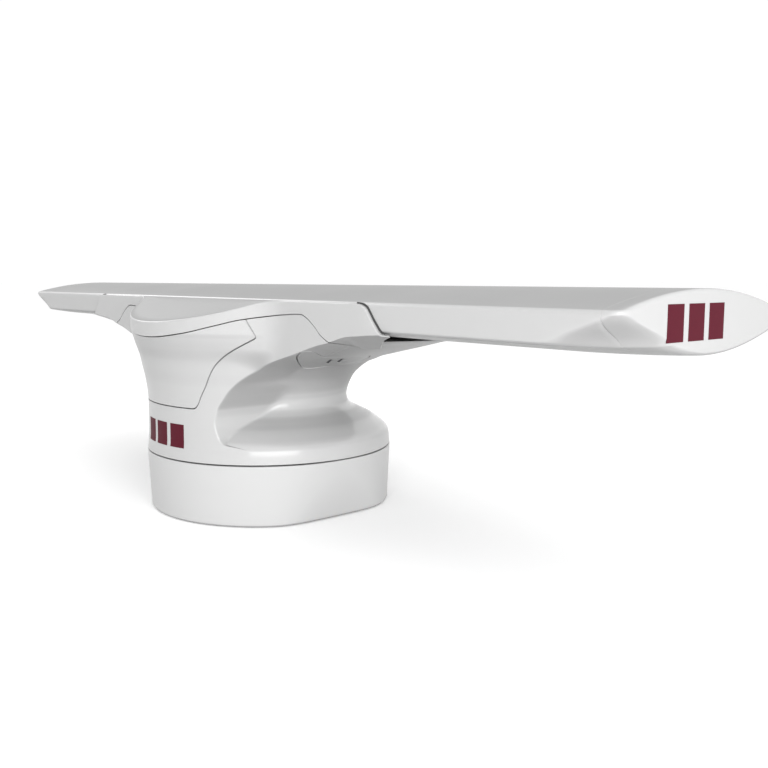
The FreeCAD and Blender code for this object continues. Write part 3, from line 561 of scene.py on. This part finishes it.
def half_turn_angles(z):
    """Angles from the front's centre line round to the back, dense at the ridge and crease."""
    ridge = ridge_angle(z)
    crease = min(max(crease_angle(z), ridge + 0.03), math.pi / 2 - 0.02)
    past_side = math.pi / 2 + 0.1
    return (clustered(0, ridge, 60) + clustered(ridge, crease, 40)
            + clustered(crease, past_side, 50) + clustered(past_side, math.pi, 50) + [math.pi])


def housing_rows(top, count):
    """Rings of the housing's skin from its floor to the given height."""
    rows = []
    for step in range(count + 1):
        z = HEAD_BOTTOM + (top - HEAD_BOTTOM) * step / count
        half = half_turn_angles(z)
        turns = half + [-a for a in half[-2:0:-1]]
        ring = []
        for turn in turns:
            angle = turn - math.pi / 2
            radius = head_radius(angle, z)
            ring.append((radius * math.cos(angle), radius * math.sin(angle), z))
        rows.append(ring)
    return rows


def head_shell():
    """The skin up past the seam, cut down to the wavy seam in front and level behind it."""
    bm = bmesh.new()
    skin(bm, housing_rows(SKIN_TOP, 240))
    shell = new_object("head_shell", bm, "head", WHITE, 30,
                       replaced=("head_housing",))
    reach = 400 * MM
    places = [reach * i / 200 for i in range(-200, 201)]
    above = [(x, seam_height(abs(x)) - SEAM_GAP) for x in places]
    above += [(reach, OVERHEAD), (-reach, OVERHEAD)]
    cut_away(shell, prism("front_seam_tool", above, -reach, -SEAM_FRONT, "Y"))
    under_bar = [(-BAR_FRONT - 1 * MM, WING_TOP), (reach, WING_TOP)]
    under_bar += [(y, OVERHEAD) for y, _ in reversed(under_bar)]
    cut_away(shell, prism("flare_top_tool", under_bar, -2 * reach, 2 * reach, "X"))
    shell.data.set_sharp_from_angle(angle=math.radians(30))
    return shell


def rounded(points, radius, steps=6):
    """A closed polygon with each corner turned on an arc-like curve."""
    out = []
    count = len(points)
    for i in range(count):
        before, here, after = (Vector(points[(i + k) % count]) for k in (-1, 0, 1))
        reach = min(radius, (before - here).length * 0.45, (after - here).length * 0.45)
        start = here + (before - here).normalized() * reach
        end = here + (after - here).normalized() * reach
        for step in range(steps + 1):
            t = step / steps
            out.append(tuple(start * (1 - t) ** 2 + here * 2 * t * (1 - t) + end * t * t))
    return out


PANEL_GAP = 1.5 * MM
# how far through the shell the cover and the hatches are cut, along Y and along Z
COVER_CUT = (-0.26, -0.098)
HATCH_CUT = (0.185, 0.236)


def split_panel(item, name, outline, low, high, axis, node):
    """Cut a panel out of a shell, with a narrow gap round it."""
    inner = prism(name + "_tool", outline, low, high, axis)
    outer = prism(name + "_room", grown_outline(outline, PANEL_GAP), low, high, axis)
    bpy.context.view_layer.update()
    panel_mesh = shaped(item, inner, "INTERSECT")
    shell_mesh = shaped(item, outer, "DIFFERENCE")
    item.data = shell_mesh
    panel = bpy.data.objects.new(name, panel_mesh)
    panel_mesh.name = name
    bpy.context.scene.collection.objects.link(panel)
    for mesh in (panel_mesh, shell_mesh):
        mesh.set_sharp_from_angle(angle=math.radians(30))
    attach(panel, "head")
    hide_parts(node)
    for tool in (inner, outer):
        bpy.data.objects.remove(tool)
    return panel


def grown_outline(points, amount):
    """The same closed outline, moved outwards."""
    out = []
    count = len(points)
    area = sum(points[i][0] * points[(i + 1) % count][1] - points[(i + 1) % count][0] * points[i][1]
               for i in range(count))
    way = 1 if area > 0 else -1
    for i in range(count):
        before, after = Vector(points[i - 1]), Vector(points[(i + 1) % count])
        run = (after - before).normalized()
        out.append((points[i][0] + way * run.y * amount, points[i][1] - way * run.x * amount))
    return out


def make_cover_and_hatches(shell):
    """Split the front cover and the two underside hatches off the shell."""
    side = [(cover_edge(z * MM), z * MM) for z in range(158, 247, 4)]
    # from the lower corner up the curved edge, and on above the seam
    half = [(66 * MM, 152 * MM)] + side + [(144 * MM, 268 * MM), (142 * MM, 300 * MM)]
    outline = half + [(-x, z) for x, z in reversed(half)]
    split_panel(shell, "front_panel", rounded(outline, 5 * MM, 4), *COVER_CUT, "Y", "front_cover")
    hatches = {}
    for sign, word in ((1, "right"), (-1, "left")):
        plan = rounded([(sign * x * MM, y * MM) for x, y in LEAF], 14 * MM, 4)
        hatches[word] = split_panel(shell, f"hatch_panel_{word}", plan, *HATCH_CUT, "Z",
                                    f"underside_hatch_{word}")
    return hatches


# ---------------------------------------------------------------------------------------------
# Cradle: the hub's roof and the ears that hold the bar
# ---------------------------------------------------------------------------------------------

ROOF_SLOPE = 0.33
ROOF_BLEND = 12 * MM
EDGE_ROUND = 2.2 * MM


def cradle_part(bm, sign, face, cheek, fillet, reach=(-1.0, 1.0), grown=0.0, lowest=0.0):
    """One side of the cradle, lofted along the bar; sign is -1 at the front and 1 at the back.

    It fills from depth face out to depth cheek, and further out round the hub. Each end of reach is
    a share of a quarter turn, and that turn's sine is the share of the half length. grown widens an
    ear's outline, and lowest clips its foot.
    """
    count = 260
    rows = []
    for i in range(count + 1):
        quarter = reach[0] + (reach[1] - reach[0]) * i / count
        x = (EAR_TIP + grown if sign < 0 else BACK_TIP) * math.sin(math.pi / 2 * quarter)
        distance = abs(x)
        disc = hub_depth(distance, HUB_RADIUS)
        deep = soft_max(disc, cheek, fillet)
        inner = max(distance - grown, 0)
        low = max(seam_height(inner), lowest)
        high = max(ear_top(inner) + grown, low + 0.3 * MM)
        if sign > 0:
            into = max(distance - (BACK_TIP - BACK_ROUND), 0)
            setback = BACK_ROUND - math.sqrt(max(BACK_ROUND ** 2 - into ** 2, 0))
            high = BACK_TOP - setback
            low = WING_TOP + SEAM_GAP + setback
            deep = deep if distance < HUB_END else cheek
        edge = high - max(deep - cheek, 0) * ROOF_SLOPE
        if sign < 0 and distance < HUB_RADIUS:
            edge = soft_min(high, high - (disc - cheek) * ROOF_SLOPE, ROOF_BLEND)
        soft = min(EDGE_ROUND, (edge - low) * 0.45, (deep - face) * 0.45)
        fold = min(max(ear_fold(distance), low), edge - soft) if sign < 0 else low
        leaning = sign < 0 and distance > EAR_FOLD[0][0] * MM

        def depth_at(level):
            return ear_depth(distance, level, deep) if leaning else deep

        thick = min(1.5 * MM, (edge - low) * 0.3)
        if leaning:
            outline = [(face, max(low, min(fold + 1 * MM, high - 0.2 * MM))),
                       (min(face, depth_at(low) - thick), low + thick)]
        else:
            outline = [(face, low), (min(face, deep - thick), low)]
        levels = [low + (fold - low) * k / 8 for k in range(9)]
        outline += [(depth_at(level), level) for level in levels]
        for step in range(7):
            turn = math.pi / 2 * step / 6
            outline.append((deep - soft * (1 - math.cos(turn)), edge - soft * (1 - math.sin(turn))))
        roof_start = deep - soft
        for step in range(1, 9):
            depth = roof_start + (face - roof_start) * step / 8
            outline.append((depth, min(edge + (roof_start - depth) * ROOF_SLOPE, high)))
        rows.append([(x, sign * y, z) for y, z in outline])
    skin(bm, rows)


BAR_CLEARANCE = 1.2 * MM
BACK_FILLET = 8 * MM


def make_cradle():
    """The cradle's two sides, and a thin black strip as painted shadow between each front ear and
    the bar.
    """
    bm = bmesh.new()
    cradle_part(bm, -1, BAR_FRONT + BAR_CLEARANCE, CHEEK_FRONT, HUB_FILLET)
    cradle_part(bm, 1, BAR_TAIL + BAR_CLEARANCE, CHEEK_BACK, BACK_FILLET)
    new_object("hub_roof", bm, "head", WHITE, 30, replaced=("hub_cradle",))
    for sign, word in ((1, "right"), (-1, "left")):
        # painted shadow: a thin black strip in the gap along each front ear's edge
        bm = bmesh.new()
        cradle_part(bm, -1, BAR_FRONT + 0.1 * MM, BAR_FRONT + 1.1 * MM, 2 * MM,
                    reach=(0.66 * sign, 1.0 * sign), grown=1.5 * MM, lowest=BAR_LIP)
        new_object(f"ear_shadow_strip_{word}", bm, "head", RUBBER, 30)


# ---------------------------------------------------------------------------------------------
# Array bar
# ---------------------------------------------------------------------------------------------


def arc(first, middle, last, count):
    """Points on the circle through three points, from first up to but not including last."""
    (ax, ay), (bx, by), (cx, cy) = first, middle, last
    det = 2 * (ax * (by - cy) + bx * (cy - ay) + cx * (ay - by))
    ux = ((ax * ax + ay * ay) * (by - cy) + (bx * bx + by * by) * (cy - ay)
          + (cx * cx + cy * cy) * (ay - by)) / det
    uy = ((ax * ax + ay * ay) * (cx - bx) + (bx * bx + by * by) * (ax - cx)
          + (cx * cx + cy * cy) * (bx - ax)) / det
    radius = math.hypot(ax - ux, ay - uy)
    start, mid, end = (math.atan2(p[1] - uy, p[0] - ux) for p in (first, middle, last))
    sweep = (end - start) % (2 * math.pi)
    if (mid - start) % (2 * math.pi) > sweep:
        sweep -= 2 * math.pi
    return [(ux + radius * math.cos(start + sweep * i / count),
             uy + radius * math.sin(start + sweep * i / count)) for i in range(count)]


# radius of the bar's front corners at the top edge and what it gains towards the belly, in
# millimetres
CORNER_TOP = 12
CORNER_GROWTH = 74


def corner_setback(x, z):
    """How far the front corner has turned away at x, on a radius that grows towards the belly."""
    radius = (CORNER_TOP + CORNER_GROWTH * ease(BAR_EDGE - z, 0, 34 * MM)) * MM
    into = min(max(abs(x) - (BAR_HALF - radius), 0), radius)
    return radius - math.sqrt(radius ** 2 - into ** 2)


def bar_outline(x, inset):
    """Section of the bar at x: flat front, arched crown and belly, round tail.

    The inset shrinks it.
    """
    front, tail = -BAR_FRONT + inset, BAR_TAIL - inset
    edge, lip = BAR_EDGE - inset * 0.5, BAR_LIP + inset * 0.5
    front_low, front_high = (front, lip + 3.4 * MM), (front, edge - 4.6 * MM)
    crown_start = (front + 5 * MM, edge + 0.7 * MM)
    crown_end = (tail - 9 * MM, BAR_EDGE + 1 * MM - inset)
    belly_start = (tail - 9 * MM, BAR_EDGE - 25 * MM + inset)
    belly_end = (front + 4 * MM, lip - 0.35 * MM)
    points = [(front, front_low[1] + (edge - lip - 8 * MM) * i / 6) for i in range(6)]
    points += arc(front_high, (front + 1.3 * MM, edge - 1.3 * MM), crown_start, 7)
    points += arc(crown_start, (22 * MM, BAR_CROWN - 0.1 * MM - inset), crown_end, 70)
    points += arc(crown_end, (tail, BAR_EDGE - 12 * MM), belly_start, 24)
    points += arc(belly_start, (21 * MM, BAR_BELLY + inset), belly_end, 70)
    points += arc(belly_end, (front + 1.1 * MM, lip + 0.9 * MM), front_low, 6)
    moved = []
    for y, z in points:
        share = min(max((tail - y) / (tail - front), 0), 1)
        moved.append((x, y + corner_setback(x, z) * share ** 1.5, z))
    return moved


# where the bar's plain middle ends, where its ends begin, and how far it is set in at a joint
MIDDLE_HALF = 0.5
ENDS_START = 0.56
JOINT_INSET = 0.25 * MM


def make_radome():
    """The bar between its two end caps."""
    bm = bmesh.new()
    ramp = [ENDS_START + (RADOME_HALF - 0.2 * MM - ENDS_START) * i / 16 for i in range(17)]
    middle = [-MIDDLE_HALF + 2 * MIDDLE_HALF * i / 10 for i in range(11)]
    stations = [(-RADOME_HALF, JOINT_INSET)] + [(-x, 0) for x in reversed(ramp)]
    stations += [(x, 0) for x in middle + ramp] + [(RADOME_HALF, JOINT_INSET)]
    skin(bm, [bar_outline(x, inset) for x, inset in stations])
    new_object("bar_radome", bm, "head", WHITE, 30, replaced=("array_radome",))


def make_end_cap(side, word):
    """Slightly domed, with a rounded rim and the front corner turned in plan."""
    bm = bmesh.new()
    rim, dome = 3.5 * MM, 0.2 * MM
    start = RADOME_HALF + 0.1 * MM
    face = BAR_HALF - 0.5 * MM
    stations = [(start, JOINT_INSET), (start + 0.2 * MM, 0)]
    stations += [(start + (face - rim - start) * i / 10, 0) for i in range(1, 11)]
    for step in range(1, 8):
        turn = math.pi / 2 * step / 7
        stations.append((face - rim + rim * math.sin(turn), rim * (1 - math.cos(turn))))
    rows = [[(side * x, y, z) for x, y, z in bar_outline(x, inset)] for x, inset in stations]
    last = rows[-1]
    centre_y, centre_z = (sum(p[k] for p in last) / len(last) for k in (1, 2))
    for step in range(1, 8):
        share = 1 - step / 8
        out = side * (face + dome * (1 - share ** 2))
        rows.append([(out, centre_y + (y - centre_y) * share, centre_z + (z - centre_z) * share)
                     for _, y, z in last])
    skin(bm, rows)
    new_object(f"bar_end_{word}", bm, "head", WHITE, 40,
               replaced=(f"end_cap_{word}",))


# ---------------------------------------------------------------------------------------------
# Painted marks and drain slots
# ---------------------------------------------------------------------------------------------

# radius that a nose mark's widths are measured round, and each mark's heights, the first bar's
# start and the step to the next in millimetres, and a bar's width
NOSE_TURN = 0.171
NOSE_MARK = {"z": (98 * MM, 129 * MM), "start": -49, "step": 35, "width": 27 * MM}
END_MARK = {"z": (263 * MM, 296 * MM), "start": -34, "step": 34, "width": 26 * MM}
# how far a patch's outer and inner side lie above the surface
PATCH_LIFTS = (0.2 * MM, -0.8 * MM)
# a drain slot's size, its axes in plan, and the two slots' centres
SLOT_WIDTH = 9 * MM
SLOT_LENGTH = 30 * MM
SLOT_DEPTH = 0.6 * MM
SLOT_RUN = Vector((0.9, -0.44))
SLOT_SIDE = Vector((-0.5, 0.87))
SLOT_CENTRES = ((179 * MM, -27 * MM), (182 * MM, -12 * MM))
SLOT_CUT = (0.19, 0.235)
# heights between which the flare's underside lies
UNDERSIDE_RANGE = (0.150, 0.246)


def painted_patch(name, place, u_range, v_range, finish=MAROON, lifts=PATCH_LIFTS):
    """A thin closed patch on a surface; place(u, v, lift) gives its points."""
    columns = 14
    us = [u_range[0] + (u_range[1] - u_range[0]) * i / columns for i in range(columns + 1)]
    vs = [v_range[0] + (v_range[1] - v_range[0]) * i / 8 for i in range(9)]
    rows = [[place(u, v, lifts[0]) for u in us] + [place(u, v, lifts[1]) for u in reversed(us)]
            for v in vs]
    bm = bmesh.new()
    skin(bm, rows)
    new_object(name, bm, "head", finish, 30)


def on_nose(u, z, lift):
    """A point on the housing's nose, u round it from the centre line."""
    angle = -math.pi / 2 + u / NOSE_TURN
    radius = head_radius(angle, z) + lift
    return (radius * math.cos(angle), radius * math.sin(angle), z)


def underside(x, y, lift):
    """A point on the flare's underside."""
    angle, reach = math.atan2(y, x), math.hypot(x, y)
    low, high = UNDERSIDE_RANGE
    # halved until the skin passes through the point
    for _ in range(24):
        z = (low + high) / 2
        if head_radius(angle, z) < reach:
            low = z
        else:
            high = z
    return (x, y, z - lift)


def make_drain_slots(hatches):
    """Two slanted slots in each underside hatch, with a dark patch inside each as painted shade."""
    half_width, half_length = SLOT_WIDTH / 2, SLOT_LENGTH / 2
    for side, word in ((1, "right"), (-1, "left")):
        for i, centre in enumerate(SLOT_CENTRES):
            def spot(u, v):
                flat = Vector(centre) + SLOT_SIDE * u + SLOT_RUN * v
                return side * flat.x, flat.y

            def place(u, v, lift):
                return underside(*spot(u, v), lift)

            corners = [spot(u * half_width, v * half_length)
                       for u, v in ((-1, -1), (1, -1), (1, 1), (-1, 1))]
            cut_away(hatches[word],
                     prism("slot_tool", rounded(corners, 2.5 * MM), *SLOT_CUT, "Z"))
            # painted shade: a dark patch sunk into each slot
            painted_patch(f"drain_slot_{word}_{i}", place, (-half_width, half_width),
                          (-half_length, half_length), SHADOW, (-SLOT_DEPTH, -6 * SLOT_DEPTH))


def on_end(side):
    """Points on an end cap's face, in depth and height."""
    def place(y, z, lift):
        return (side * (BAR_HALF - 0.2 * MM + min(lift, 0)), y, z)
    return place


def make_mark(name, place, mark):
    """Three upright bars side by side."""
    for i in range(3):
        low = (mark["start"] + mark["step"] * i) * MM
        painted_patch(f"{name}_{i}", place, (low, low + mark["width"]), mark["z"])


def make_marks():
    """One mark on the nose and one on each end cap."""
    make_mark("nose_mark", on_nose, NOSE_MARK)
    for side, word in ((1, "right"), (-1, "left")):
        make_mark(f"end_mark_{word}", on_end(side), END_MARK)


# ---------------------------------------------------------------------------------------------
# Floor, light and camera
# ---------------------------------------------------------------------------------------------

FLOOR_REACH = 60.0
FLOOR_LEVEL = -0.6 * MM


def make_stage():
    """A wide pale floor just under the base."""
    bm = bmesh.new()
    corners = [(-1, -1), (1, -1), (1, 1), (-1, 1)]
    bm.faces.new([bm.verts.new((x * FLOOR_REACH, y * FLOOR_REACH, FLOOR_LEVEL))
                  for x, y in corners])
    mesh = bpy.data.meshes.new("floor")
    bm.to_mesh(mesh)
    bm.free()
    floor = bpy.data.objects.new("floor", mesh)
    bpy.context.scene.collection.objects.link(floor)
    mesh.materials.append(paint("floor_paper", (0.97, 0.97, 0.97), 0.9, bump=0.0, tint=0.01))


def aimed(direction):
    """The turn that points a light or a camera along a direction."""
    return direction.to_track_quat("-Z", "Y").to_euler()


def area_light(name, place, target, size, power):
    """A rectangular light at a place, facing a target."""
    lamp = bpy.data.lights.new(name, "AREA")
    lamp.shape = "RECTANGLE"
    lamp.size, lamp.size_y = size
    lamp.energy = power
    item = bpy.data.objects.new(name, lamp)
    bpy.context.scene.collection.objects.link(item)
    item.location = place
    item.rotation_euler = aimed(Vector(target) - Vector(place))


def make_light():
    """An even white surround, a soft key low at the side and a softbox on the far edges."""
    bpy.context.scene.view_settings.view_transform = "Standard"
    world = bpy.data.worlds.new("studio")
    bpy.context.scene.world = world
    world.use_nodes = True
    tree = world.node_tree
    back = tree.nodes["Background"]
    back.inputs["Color"].default_value = (1, 1, 1, 1)
    back.inputs["Strength"].default_value = 1.04
    area_light("side_key", (2.6, -1.5, 0.6), (0, 0, 0.2), (2.4, 1.1), 112)
    area_light("edge_softbox", (-2.6, -0.5, 1.9), (0, 0, 0.25), (2.6, 1.2), 14)


CAMERA_PLACE = (1.060, -0.693, 0.318)
CAMERA_TURN, CAMERA_DIP = math.radians(40.7), math.radians(6.95)
LENS_LENGTH = 40.78125
SENSOR_WIDTH = 36


def make_camera():
    """Near the bar's right-hand end and level with it, looking back along it and slightly down."""
    lens = bpy.data.cameras.new("camera")
    lens.sensor_width = SENSOR_WIDTH
    lens.lens = LENS_LENGTH
    item = bpy.data.objects.new("camera", lens)
    bpy.context.scene.collection.objects.link(item)
    item.location = CAMERA_PLACE
    level = math.cos(CAMERA_DIP)
    item.rotation_euler = aimed(Vector((-math.cos(CAMERA_TURN) * level,
                                        math.sin(CAMERA_TURN) * level, -math.sin(CAMERA_DIP))))
    bpy.context.scene.camera = item


make_base()
hatch_panels = make_cover_and_hatches(head_shell())
make_cradle()
make_marks()
make_drain_slots(hatch_panels)
make_radome()
make_end_cap(1, "right")
make_end_cap(-1, "left")
make_stage()
make_light()
make_camera()

bpy.context.view_layer.update()
